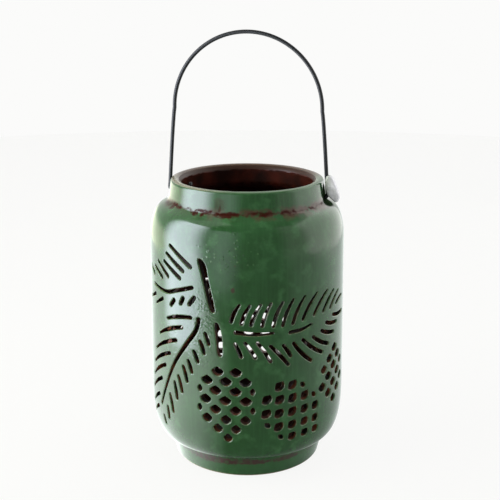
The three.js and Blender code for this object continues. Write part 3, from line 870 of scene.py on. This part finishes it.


# Glazed stoneware: clay under a glossy glaze that ran as it was fired. The eye sees a deep, mottled green
# that is thin and pale on edges, red-brown where it gathered under the neck and round the foot, brown inside
# and in the cuts, and bare clay under the foot ring. Its IOR is that of glass, 1.5, and it is nearly smooth.
# Two marks are painted light: a dark, less glossy painted shadow round the hook's hole under the guard, and
# a painted highlight along the front of the lip's inner edge.
glazeLook = {
    "colours": {
        "green": "#1e4a21", "thinGreen": "#3a6a3d", "darkGreen": "#184219", "fleck": "#6f9a68",
        # the dark green-black pool colour is a painted shadow round the hook's hole under the guard
        "bandRed": "#34130b", "bandBrown": "#46281b", "footBrown": "#3e2723", "paintedShadow": "#22301f",
        "paleEdge": "#7d8368", "cutBrown": "#6c3c28", "cutDark": "#120c09",
        "insideBrown": "#43190f", "insideDark": "#1f0d08", "clay": "#b9a487",
        # lipEdge is a painted highlight along the front of the lip's inner edge, partly glaze that thins
        # there
        "lipGreen": "#3f5a3c", "lipGrey": "#767361", "lipBrown": "#4a382a", "lipEdge": "#9fb09c",
        "underLip": "#301c12",
    },
    # Cloudy patterns: the size of their lumps in mm, detail, and a shift to another part of the noise. Then
    # come the range of the noise that shows, and the strength at its two ends.
    "clouds": {
        "mottle": (16, 4, 0, 0.36, 0.68, 0, 1), "streak": (2.2, 3, 3, 0.42, 0.72, 0, 0.14),
        "thin": (9, 5, 31, 0.48, 0.75, 0, 0.55), "torn": (2.5, 3, 17), "ragged": (5, 5, 11),
        "bandWidth": (8, 3, 29, 0.36, 0.62, 0.1, 1.2), "halo": (7, 4, 83, 0.4, 0.55, 0, 0.85),
        "redBreaks": (2.4, 2, 47, 0.3, 0.5, 0.4, 1), "footBreaks": (12, 2, 53, 0.38, 0.52, 0, 0.85),
        "brownBreaks": (3.5, 3, 47, 0.34, 0.54, 0.5, 1), "pale": (3, 2, 7, 0.35, 0.6, 0.1, 0.6),
        "cutBrown": (7, 3, 71, 0.4, 0.62, 0, 1), "lining": (14, 3, 41, 0.3, 0.7, 0, 1),
        "lipGrey": (8, 3, 23, 0.2, 0.6, 0.3, 1), "waves": (24, 1, 0), "peel": (3, 2, 5),
        "blistered": (6, 2, 61, 0.35, 0.6, 0, 1), "roughness": (5, 3, 91, 0.3, 0.7, 0.1, 0.16),
    },
    # Ragged patches: u along the wall and z in mm, half the width and height, softness and strength
    "patches": {
        "speck": [(-9, 136, 1.3, 1.6, 0.35, 0.8)],
        "bubbly": [(-12, 160, 20, 12, 0.5, 1), (-18, 140, 3.5, 28, 0.6, 1)],
        "blistered": [(-31, 108, 11, 24, 0.6, 1), (-60, 60, 14, 34, 0.6, 0.5)],
        "neckRed": [(-18, 180.8, 8, 1.6, 0.35, 1), (-22, 184.4, 1.3, 3, 0.35, 0.7),
                    (-22, 187, 5, 4, 0.35, 0.4), (-87, 181.6, 14, 2.6, 0.35, 0.85),
                    (-73, 180, 3, 1.1, 0.35, 0.9), (-43, 180.2, 2.6, 1.2, 0.35, 1),
                    (-36, 180, 1.8, 1, 0.35, 1), (12, 181.4, 6, 1.3, 0.35, 0.9),
                    (62, 182.6, 14, 0.9, 0.35, 0.35)],
        "footBrown": [(-30, 11.4, 24, 2.6, 0.35, 1), (2, 11.6, 18, 2, 0.35, 0.95),
                      (35, 11.8, 14, 2.2, 0.35, 0.85)],
    },
    # Where each thing starts and ends: in mm, through the wall from 0 outside to 1 inside, or as a share
    "ends": {
        "bandReach": (0.8, 4.4), "bandEdge": (-0.8, 1.1), "haloSide": (-40, -15), "footReach": (0.8, 3.4),
        "footRagged": (-0.5, 0.3), "footThin": (16, 10), "cutEdge": (0.01, 0.06), "cut": (0.12, 0.25),
        "dullCut": (0.15, 0.3), "inside": (0.8, 0.95), "brownCuts": (135, 75), "paintedShadow": (4.2, 6.2),
        "onLip": (194, 194.6), "greyLip": (-8, -38), "brownLip": (12, -18),
        "underLipRadius": (48.6, 47.6), "underLip": (191.3, 192.6),
        "lipHighlightRadius": (47.2, 46.2), "lipEdge": (193, 194), "lipHighlightFront": (4, 22),
        "bubbleChance": (0.2, 0.9), "bubbleFleck": (0.06, 0.3), "bubbleDome": (0.05, 0.3),
        "speckChance": (0.72, 1), "speckEdge": (0, 0.03), "shine": (0, 1),
    },
    "strengths": {
        "bubbleFleck": 0.4, "speckSize": 0.1, "speck": 0.75, "haloAtLeft": 0.2, "footThin": 0.45,
        "brownHighUp": 0.15, "shine": 0.5,
    },
    "roughness": {"clay": 0.75, "red": 0.15, "paintedShadow": 0.16, "cut": 0.38, "lip": 0.22},
    "dullness": {"red": 0.8, "cut": 0.6},
    "sizes": {  # millimetres
        "wallRadius": 66, "neckBand": 181.4, "footBand": 13.4, "raggedness": 5, "tearing": 1.3,
        "speckCells": 8, "bubbles": 3.2, "pebbles": 1.7, "paintedShadowCentre": (54.2, 2.2, 184.4),
    },
    "paintedShadowShape": (1, 0.55, 0.45), "streakShape": (1.1, 0.05, 0), "ior": 1.5,
    "depths": {"waves": 0.00014, "peel": 0.000014, "pebbles": 0.00026, "bubbles": 0.0001},  # metres
}


def whereOnPot(tree):  # all that the patterns are laid out by, in millimetres
    sizes = glazeLook["sizes"]
    spot = addNode(tree, "TexCoord").outputs["Object"]
    place = addNode(tree, "VectorMath", {0: spot, "Scale": 1000}, operation="SCALE")
    right, forwards, z, bearing = fromTheFront(tree, place)
    along = addNode(tree, "Math", [bearing, sizes["wallRadius"]], operation="MULTIPLY")
    level = addNode(tree, "VectorMath", [place, (1, 1, 0)], operation="MULTIPLY")
    at = {"tree": tree, "place": place, "right": right, "forwards": forwards, "z": z, "along": along,
          "radius": addNode(tree, "VectorMath", [level], operation="LENGTH").outputs["Value"],
          "wall": addNode(tree, "CombineXYZ", [along, z]),
          "inwards": addNode(tree, "Attribute", attribute_name="inwards").outputs["Fac"],
          "bareness": addNode(tree, "Attribute", attribute_name="bareness").outputs["Fac"]}
    for name, amount in (("torn", "tearing"), ("ragged", "raggedness")):
        centred = addNode(tree, "Math", [cloudy(at, name), 0.5], operation="SUBTRACT")
        at[name] = addNode(tree, "Math", [centred, sizes[amount]], operation="MULTIPLY")
    at["raggedZ"] = addNode(tree, "Math", [z, at["ragged"]], operation="ADD")
    return at


def cloudy(at, name, most=None, place=None):  # a cloudy pattern; most takes the place of its upper strength
    size, detail, shift, *shown = glazeLook["clouds"][name]
    tree = at["tree"]
    moved = addNode(tree, "VectorMath", [place or at["place"], (shift, shift * 0.7, shift * 1.3)],
                    operation="ADD")
    noise = addNode(tree, "TexNoise", {"Vector": moved, "Scale": 1 / size, "Detail": detail})
    if not shown:
        return noise
    low, high, least, highest = shown
    return addNode(tree, "MapRange", [noise, low, high, least, most or highest], **smooth)


def strongest(tree, value, masks):  # the value, or any of the masks at its own strength where that is more
    for mask, strength in masks:
        part = addNode(tree, "Math", [mask, strength], operation="MULTIPLY")
        value = addNode(tree, "Math", [value, part], operation="MAXIMUM")
    return value


def patchy(at, name, value=0):  # the value, with ragged patches added to it
    tree = at["tree"]
    for u, z, halfWidth, halfHeight, soft, strength in glazeLook["patches"][name]:
        away = addNode(tree, "VectorMath", [at["wall"], (u, z, 0)], operation="SUBTRACT")
        shares = addNode(tree, "VectorMath", [away, (halfWidth, halfHeight, 1)], operation="DIVIDE")
        far = addNode(tree, "VectorMath", [shares], operation="LENGTH").outputs["Value"]
        torn = addNode(tree, "Math", [far, at["torn"]], operation="ADD")
        patch = addNode(tree, "MapRange", [torn, 1 - soft, 1 + soft, 1, 0], **smooth)
        value = strongest(tree, value, [(patch, strength)])
    return value


def makeBubbles(at):  # small domes with a pale middle, some brighter than others
    tree, ends = at["tree"], glazeLook["ends"]
    cells = addNode(tree, "TexVoronoi", {"Vector": at["place"], "Scale": 1 / glazeLook["sizes"]["bubbles"]})
    chance = addNode(tree, "SeparateColor", [cells.outputs["Color"]]).outputs["Red"]
    far = cells.outputs["Distance"]
    bubbly = patchy(at, "bubbly")
    brightness = addNode(tree, "MapRange", [chance, *ends["bubbleChance"], 0,
                                            glazeLook["strengths"]["bubbleFleck"]], **smooth)
    share = addNode(tree, "Math", [brightness, bubbly], operation="MULTIPLY")
    fleck = addNode(tree, "MapRange", [far, *ends["bubbleFleck"], share, 0], **smooth)
    dome = addNode(tree, "MapRange", [far, *ends["bubbleDome"], 1, 0], **smooth)
    return bubbly, fleck, dome


def makeSpecks(at):  # small brown specks, here and there
    tree, ends, strengths = at["tree"], glazeLook["ends"], glazeLook["strengths"]
    cells = addNode(tree, "TexVoronoi", {"Vector": at["place"],
                                         "Scale": 1 / glazeLook["sizes"]["speckCells"]})
    chance = addNode(tree, "SeparateColor", [cells.outputs["Color"]]).outputs["Red"]
    size = addNode(tree, "MapRange", [chance, *ends["speckChance"], 0, strengths["speckSize"]], **smooth)
    depth = addNode(tree, "Math", [size, cells.outputs["Distance"]], operation="SUBTRACT")
    speck = addNode(tree, "MapRange", [depth, *ends["speckEdge"], 0, strengths["speck"]], **smooth)
    return patchy(at, "speck", speck)


def makeNeckBand(at):  # red-brown with a brown halo where the glaze gathered under the neck
    tree, ends = at["tree"], glazeLook["ends"]
    off = addNode(tree, "Math", [at["raggedZ"], glazeLook["sizes"]["neckBand"]], operation="SUBTRACT")
    off = addNode(tree, "Math", [off], operation="ABSOLUTE")
    halo = addNode(tree, "MapRange", [off, *ends["bandReach"], cloudy(at, "halo"), 0], **smooth)
    side = addNode(tree, "MapRange", [at["along"], *ends["haloSide"], glazeLook["strengths"]["haloAtLeft"]],
                   **smooth)
    halo = addNode(tree, "Math", [halo, side], operation="MULTIPLY")
    fromEdge = addNode(tree, "Math", [off, cloudy(at, "bandWidth")], operation="SUBTRACT")
    red = addNode(tree, "MapRange", [fromEdge, *ends["bandEdge"], 1, 0], **smooth)
    red = addNode(tree, "Math", [patchy(at, "neckRed", red), cloudy(at, "redBreaks")], operation="MULTIPLY")
    return halo, red


def makeFootBand(at):  # brown in the crease above the foot
    tree, ends = at["tree"], glazeLook["ends"]
    off = addNode(tree, "Math", [at["raggedZ"], glazeLook["sizes"]["footBand"]], operation="SUBTRACT")
    off = addNode(tree, "Math", [off], operation="ABSOLUTE")
    brown = addNode(tree, "MapRange", [off, *ends["footReach"], cloudy(at, "footBreaks"), 0], **smooth)
    brown = addNode(tree, "MapRange", [at["ragged"], *ends["footRagged"], 0, brown], **smooth)
    brown = patchy(at, "footBrown", brown)
    return addNode(tree, "Math", [brown, cloudy(at, "brownBreaks")], operation="MULTIPLY")


def makePaintedShadow(at):  # a painted shadow round the hole under the guard, dark and less glossy where the guard shades the neck
    tree = at["tree"]
    away = addNode(tree, "VectorMath", [at["place"], glazeLook["sizes"]["paintedShadowCentre"]], operation="SUBTRACT")
    shaped = addNode(tree, "VectorMath", [away, glazeLook["paintedShadowShape"]], operation="MULTIPLY")
    far = addNode(tree, "VectorMath", [shaped], operation="LENGTH").outputs["Value"]
    return addNode(tree, "MapRange", [far, *glazeLook["ends"]["paintedShadow"], 1, 0], **smooth)


def makeLipLayers(at, colours):  # green in front, grey at the left and brown behind where the glaze ran off
    tree, ends, z, radius = at["tree"], glazeLook["ends"], at["z"], at["radius"]
    onLip = addNode(tree, "MapRange", [z, *ends["onLip"]], **smooth)
    grey = addNode(tree, "MapRange", [at["right"], *ends["greyLip"], 0, cloudy(at, "lipGrey")], **smooth)
    behind = addNode(tree, "MapRange", [at["forwards"], *ends["brownLip"]], **smooth)
    lip = layered(tree, colours["lipGreen"], [(grey, colours["lipGrey"]), (behind, colours["lipBrown"])])
    under = addNode(tree, "MapRange", [z, *ends["underLip"]], **smooth)
    under = addNode(tree, "MapRange", [radius, *ends["underLipRadius"], 0, under], **smooth)
    # a pale line on the inner edge at the front only: a painted highlight, partly glaze that thins there
    edge = addNode(tree, "MapRange", [z, *ends["lipEdge"]], **smooth)
    edge = addNode(tree, "MapRange", [at["forwards"], *ends["lipHighlightFront"], 0, edge], **smooth)
    edge = addNode(tree, "MapRange", [radius, *ends["lipHighlightRadius"], 0, edge], **smooth)
    return onLip, [(under, colours["underLip"]), (onLip, lip), (edge, colours["lipEdge"])]


def makeCutLayers(at, colours):  # thin and pale at the cuts' rims, dark or brown in them, and the inside
    tree, ends, inwards = at["tree"], glazeLook["ends"], at["inwards"]
    pale = addNode(tree, "MapRange", [inwards, *ends["cutEdge"], 0, cloudy(at, "pale")], **smooth)
    lowDown = addNode(tree, "MapRange", [at["z"], *ends["brownCuts"], glazeLook["strengths"]["brownHighUp"]],
                      **smooth)
    cut = layered(tree, colours["cutDark"], [(cloudy(at, "cutBrown", lowDown), colours["cutBrown"])])
    lining = layered(tree, colours["insideDark"], [(cloudy(at, "lining"), colours["insideBrown"])])
    inCut = addNode(tree, "MapRange", [inwards, *ends["cut"]], **smooth)
    inside = addNode(tree, "MapRange", [inwards, *ends["inside"]], **smooth)
    return [(pale, colours["paleEdge"]), (inCut, cut), (inside, lining)]


def makeBumps(at, bubbly, dome):  # long waves, a fine orange peel, pebbles where it blistered, and bubbles
    tree = at["tree"]
    cells = addNode(tree, "TexVoronoi", {"Vector": at["place"], "Scale": 1 / glazeLook["sizes"]["pebbles"]},
                    feature="SMOOTH_F1")
    pebbles = addNode(tree, "Math", [1, cells.outputs["Distance"]], operation="SUBTRACT")
    blistered = cloudy(at, "blistered", patchy(at, "blistered"))
    bump = None
    for name, height, strength in (("waves", cloudy(at, "waves"), 1), ("peel", cloudy(at, "peel"), 1),
                                   ("pebbles", pebbles, blistered), ("bubbles", dome, bubbly)):
        inputs = {"Strength": strength, "Distance": glazeLook["depths"][name], "Height": height}
        if bump:
            inputs["Normal"] = bump
        bump = addNode(tree, "Bump", inputs)
    return bump


def makeGlaze():
    glaze, tree = newMaterial("green glazed stoneware")
    at = whereOnPot(tree)
    ends, strengths, roughness = glazeLook["ends"], glazeLook["strengths"], glazeLook["roughness"]
    colours = {name: linear(value) for name, value in glazeLook["colours"].items()}
    bubbly, fleck, dome = makeBubbles(at)
    halo, red = makeNeckBand(at)
    # a painted shadow under the guard: darker and less glossy round the hook's hole
    paintedShadow = makePaintedShadow(at)
    onLip, lipLayers = makeLipLayers(at, colours)
    drawnOut = addNode(tree, "VectorMath", [at["wall"], glazeLook["streakShape"]], operation="MULTIPLY")
    thin = strongest(tree, cloudy(at, "streak", place=drawnOut), [(cloudy(at, "thin"), 1)])
    footThin = addNode(tree, "MapRange", [at["z"], *ends["footThin"], 0, strengths["footThin"]], **smooth)
    layers = [(cloudy(at, "mottle"), colours["green"]), (thin, colours["thinGreen"]),
              (makeSpecks(at), colours["bandRed"]), (fleck, colours["fleck"]), (halo, colours["bandBrown"]),
              (red, colours["bandRed"]), (footThin, colours["thinGreen"]),
              (makeFootBand(at), colours["footBrown"])]
    layers += makeCutLayers(at, colours) + [(paintedShadow, colours["paintedShadow"])] + lipLayers
    layers.append((at["bareness"], colours["clay"]))
    colour = layered(tree, colours["darkGreen"], layers)

    # Less glossy where the glaze gathered or soaked in, in the cuts and on the clay, and in the painted
    # shadow under the guard
    dullCut = addNode(tree, "MapRange", [at["inwards"], *ends["dullCut"]], **smooth)
    rough = strongest(tree, cloudy(at, "roughness"), [
        (at["bareness"], roughness["clay"]), (red, roughness["red"]), (paintedShadow, roughness["paintedShadow"]),
        (dullCut, roughness["cut"]), (onLip, roughness["lip"])])
    dullness = glazeLook["dullness"]
    dull = strongest(tree, paintedShadow, [(red, dullness["red"]), (dullCut, dullness["cut"])])
    shine = addNode(tree, "MapRange", [dull, *ends["shine"], strengths["shine"], 0], **smooth)
    shader = addNode(tree, "BsdfPrincipled", {"Base Color": colour, "Roughness": rough,
                                              "IOR": glazeLook["ior"],
                                              "Normal": makeBumps(at, bubbly, dome),
                                              "Specular IOR Level": shine})
    addNode(tree, "OutputMaterial", {"Surface": shader})
    return glaze


# Steel wire under a satin black lacquer: near black, with a soft, narrow shine from the lamps
wireLook = {"black": "#0c0e0f", "roughness": 0.45, "ior": 1.4}


def makeLacquer():
    lacquer, tree = newMaterial("satin black wire")
    shader = addNode(tree, "BsdfPrincipled", {"Base Color": linear(wireLook["black"]),
                                              "Roughness": wireLook["roughness"], "IOR": wireLook["ior"]})
    addNode(tree, "OutputMaterial", {"Surface": shader})
    return lacquer


# Soft foam, moulded and handled: a dull pale grey with shallow dents. Towards the neck it is painted darker
# and greener, a painted shade with green reflected from the neck.
foamLook = {  # the range in which its painted shade gives way to pale grey and the size of its dents are in mm, their depth in m
    "inner": "#a3aaa0", "outer": "#d6d6db", "turns": (53, 58.5), "roughness": 0.5, "dents": 6,
    "dentDepth": 0.0018,
}


def makeFoam():
    foam, tree = newMaterial("soft grey sleeve")
    spot = addNode(tree, "TexCoord").outputs["Object"]
    place = addNode(tree, "VectorMath", {0: spot, "Scale": 1000}, operation="SCALE")
    x = addNode(tree, "SeparateXYZ", [place]).outputs["X"]
    # painted shade: darker and greener on the side towards the neck, pale grey further out
    outOfShade = addNode(tree, "MapRange", [x, *foamLook["turns"]], **smooth)
    paintedShade = layered(tree, linear(foamLook["inner"]), [(outOfShade, linear(foamLook["outer"]))])
    noise = addNode(tree, "TexNoise", {"Vector": place, "Scale": 1 / foamLook["dents"], "Detail": 1})
    dents = addNode(tree, "Bump", {"Strength": 1, "Distance": foamLook["dentDepth"], "Height": noise})
    shader = addNode(tree, "BsdfPrincipled", {"Base Color": paintedShade, "Roughness": foamLook["roughness"],
                                              "Normal": dents})
    addNode(tree, "OutputMaterial", {"Surface": shader})
    return foam


makePot(makeGlaze())
makeWire(makeLacquer())
makeGuard(makeFoam())
print("wire and guard made")
